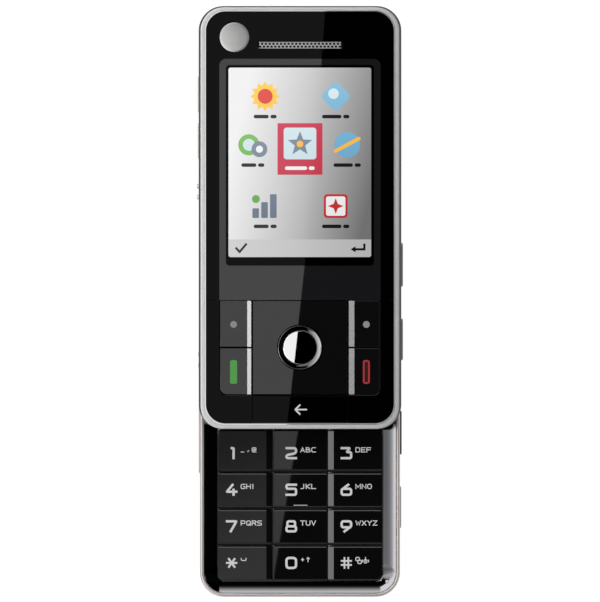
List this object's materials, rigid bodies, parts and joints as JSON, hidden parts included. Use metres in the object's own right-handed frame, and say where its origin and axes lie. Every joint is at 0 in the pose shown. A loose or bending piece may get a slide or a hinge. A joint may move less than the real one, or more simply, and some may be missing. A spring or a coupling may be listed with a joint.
{
  "type": "slider phone",
  "caption": "Slider mobile phone, shown open: a display half with navigation keys slides along a keypad half on a steel guide.",
  "frame": {"origin": "middle of the open phone's outline, on the surface that its back rests on", "axes": "+X to the phone's right seen from the front, +Y along the phone towards the earpiece, +Z out of the display"},
  "size_m": [0.0468, 0.1342, 0.0164],
  "materials": {
    "satin_silver": "fine blasted satin silver",
    "polished_metal": "polished metal",
    "steel": "stamped sheet steel",
    "black_gloss": "black gloss",
    "smoke_gloss": "smoke grey gloss, half mirror",
    "dark_shell": "dark satin plastic",
    "silver_shell": "warm grey metallic paint on plastic",
    "dark_key": "dark glossy key cap",
    "rubber": "soft key mat",
    "light_trim": "light grey satin",
    "board_green": "solder mask",
    "black_plastic": "moulded black plastic",
    "gold_contact": "gold plated contact",
    "battery_wrap": "plain battery wrap",
    "display_glass": "lit display",
    "lens_glass": "dark clear window",
    "amber_film": "amber polyimide film"
  },
  "bodies": {
    "base": {"rear_housing": "silver_shell", "camera_window": "lens_glass", "housing_screw_left": "steel", "housing_screw_right": "steel", "battery": "battery_wrap", "sim_holder": "steel", "battery_contacts": "gold_contact", "main_board": "board_green", "shield_can": "steel", "card_socket": "steel", "camera_module": "black_plastic", "loudspeaker": "black_plastic", "vibration_motor": "steel", "aerial_carrier": "black_plastic", "microphone": "steel", "charging_socket": "steel", "front_housing": "black_gloss", "base_rim": "satin_silver", "key_mat": "rubber", "infrared_window": "lens_glass", "guide_plate": "steel", "slide_spring": "polished_metal", "flex_cable": "amber_film"},
    "battery_cover": {"battery_cover": "silver_shell"},
    "card_slot_cover": {"card_slot_cover": "light_trim"},
    "socket_cover": {"socket_cover": "light_trim"},
    "key_1": {"key_1": "dark_key"},
    "key_2": {"key_2": "dark_key"},
    "key_3": {"key_3": "dark_key"},
    "key_4": {"key_4": "dark_key"},
    "key_5": {"key_5": "dark_key"},
    "key_6": {"key_6": "dark_key"},
    "key_7": {"key_7": "dark_key"},
    "key_8": {"key_8": "dark_key"},
    "key_9": {"key_9": "dark_key"},
    "key_star": {"key_star": "dark_key"},
    "key_0": {"key_0": "dark_key"},
    "key_hash": {"key_hash": "dark_key"},
    "slider": {"rail_plate": "steel", "slider_rear_housing": "dark_shell", "slider_bezel": "satin_silver", "front_window": "black_gloss", "badge_disc": "polished_metal", "earpiece_grille": "polished_metal", "slider_board": "board_green", "earpiece": "black_plastic", "display_module": "display_glass", "lower_panel": "black_gloss"},
    "left_soft_key": {"left_soft_key": "smoke_gloss"},
    "send_key": {"send_key": "smoke_gloss"},
    "right_soft_key": {"right_soft_key": "smoke_gloss"},
    "end_key": {"end_key": "smoke_gloss"},
    "clear_key": {"clear_key": "smoke_gloss"},
    "nav_actuator": {"nav_actuator": "black_plastic"},
    "nav_pad": {"nav_pad": "smoke_gloss"},
    "centre_key": {"centre_key": "polished_metal"},
    "volume_rocker": {"volume_rocker": "light_trim"},
    "lock_switch": {"lock_switch": "light_trim"},
    "camera_key": {"camera_key": "light_trim"},
    "voice_key": {"voice_key": "light_trim"}
  },
  "joints": [
    {"name": "slider_slide", "type": "slide", "parent": "base", "child": "slider", "axis": [0, 1, 0], "range_m": [-0.0382, 0], "deforming": ["slide_spring", "flex_cable"]},
    {"name": "battery_cover_slide", "type": "slide", "parent": "base", "child": "battery_cover", "axis": [0, -1, 0], "range_m": [0, 0.01]},
    {"name": "card_slot_cover_swing", "type": "hinge", "parent": "base", "child": "card_slot_cover", "pos_m": [-0.02275, 0.0127, 0.0034], "axis": [0, 0, 1], "range_deg": [-80, 0]},
    {"name": "socket_cover_swing", "type": "hinge", "parent": "base", "child": "socket_cover", "pos_m": [-0.02275, -0.0092, 0.0034], "axis": [0, 0, 1], "range_deg": [-80, 0]},
    {"name": "key_1_press", "type": "slide", "parent": "base", "child": "key_1", "axis": [0, 0, 1], "range_m": [-0.0003, 0], "stiffness_N_per_m": 400},
    {"name": "key_2_press", "type": "slide", "parent": "base", "child": "key_2", "axis": [0, 0, 1], "range_m": [-0.0003, 0], "stiffness_N_per_m": 400},
    {"name": "key_3_press", "type": "slide", "parent": "base", "child": "key_3", "axis": [0, 0, 1], "range_m": [-0.0003, 0], "stiffness_N_per_m": 400},
    {"name": "key_4_press", "type": "slide", "parent": "base", "child": "key_4", "axis": [0, 0, 1], "range_m": [-0.0003, 0], "stiffness_N_per_m": 400},
    {"name": "key_5_press", "type": "slide", "parent": "base", "child": "key_5", "axis": [0, 0, 1], "range_m": [-0.0003, 0], "stiffness_N_per_m": 400},
    {"name": "key_6_press", "type": "slide", "parent": "base", "child": "key_6", "axis": [0, 0, 1], "range_m": [-0.0003, 0], "stiffness_N_per_m": 400},
    {"name": "key_7_press", "type": "slide", "parent": "base", "child": "key_7", "axis": [0, 0, 1], "range_m": [-0.0003, 0], "stiffness_N_per_m": 400},
    {"name": "key_8_press", "type": "slide", "parent": "base", "child": "key_8", "axis": [0, 0, 1], "range_m": [-0.0003, 0], "stiffness_N_per_m": 400},
    {"name": "key_9_press", "type": "slide", "parent": "base", "child": "key_9", "axis": [0, 0, 1], "range_m": [-0.0003, 0], "stiffness_N_per_m": 400},
    {"name": "key_star_press", "type": "slide", "parent": "base", "child": "key_star", "axis": [0, 0, 1], "range_m": [-0.0003, 0], "stiffness_N_per_m": 400},
    {"name": "key_0_press", "type": "slide", "parent": "base", "child": "key_0", "axis": [0, 0, 1], "range_m": [-0.0003, 0], "stiffness_N_per_m": 400},
    {"name": "key_hash_press", "type": "slide", "parent": "base", "child": "key_hash", "axis": [0, 0, 1], "range_m": [-0.0003, 0], "stiffness_N_per_m": 400},
    {"name": "left_soft_key_press", "type": "slide", "parent": "slider", "child": "left_soft_key", "axis": [0, 0, 1], "range_m": [-0.0003, 0], "stiffness_N_per_m": 400},
    {"name": "send_key_press", "type": "slide", "parent": "slider", "child": "send_key", "axis": [0, 0, 1], "range_m": [-0.0003, 0], "stiffness_N_per_m": 400},
    {"name": "right_soft_key_press", "type": "slide", "parent": "slider", "child": "right_soft_key", "axis": [0, 0, 1], "range_m": [-0.0003, 0], "stiffness_N_per_m": 400},
    {"name": "end_key_press", "type": "slide", "parent": "slider", "child": "end_key", "axis": [0, 0, 1], "range_m": [-0.0003, 0], "stiffness_N_per_m": 400},
    {"name": "clear_key_press", "type": "slide", "parent": "slider", "child": "clear_key", "axis": [0, 0, 1], "range_m": [-0.0003, 0], "stiffness_N_per_m": 400},
    {"name": "nav_tilt_sideways", "type": "hinge", "parent": "slider", "child": "nav_actuator", "pos_m": [0, -0.0104, 0.0125], "axis": [0, 1, 0], "range_deg": [-1.2, 1.2], "stiffness_Nm_per_rad": 0.4},
    {"name": "nav_tilt_lengthways", "type": "hinge", "parent": "nav_actuator", "child": "nav_pad", "pos_m": [0, -0.0104, 0.0125], "axis": [1, 0, 0], "range_deg": [-1.2, 1.2], "stiffness_Nm_per_rad": 0.4},
    {"name": "centre_key_press", "type": "slide", "parent": "nav_pad", "child": "centre_key", "axis": [0, 0, 1], "range_m": [-0.00025, 0], "stiffness_N_per_m": 400},
    {"name": "volume_rocker_tilt", "type": "hinge", "parent": "slider", "child": "volume_rocker", "pos_m": [-0.0225, 0.0418, 0.012], "axis": [0, 0, 1], "range_deg": [-1.2, 1.2], "stiffness_Nm_per_rad": 0.3},
    {"name": "lock_switch_slide", "type": "slide", "parent": "slider", "child": "lock_switch", "axis": [0, 1, 0], "range_m": [-0.0008, 0.0008]},
    {"name": "camera_key_press", "type": "slide", "parent": "slider", "child": "camera_key", "axis": [1, 0, 0], "range_m": [-0.00025, 0], "stiffness_N_per_m": 400},
    {"name": "voice_key_press", "type": "slide", "parent": "slider", "child": "voice_key", "axis": [1, 0, 0], "range_m": [-0.00025, 0], "stiffness_N_per_m": 400}
  ]
}
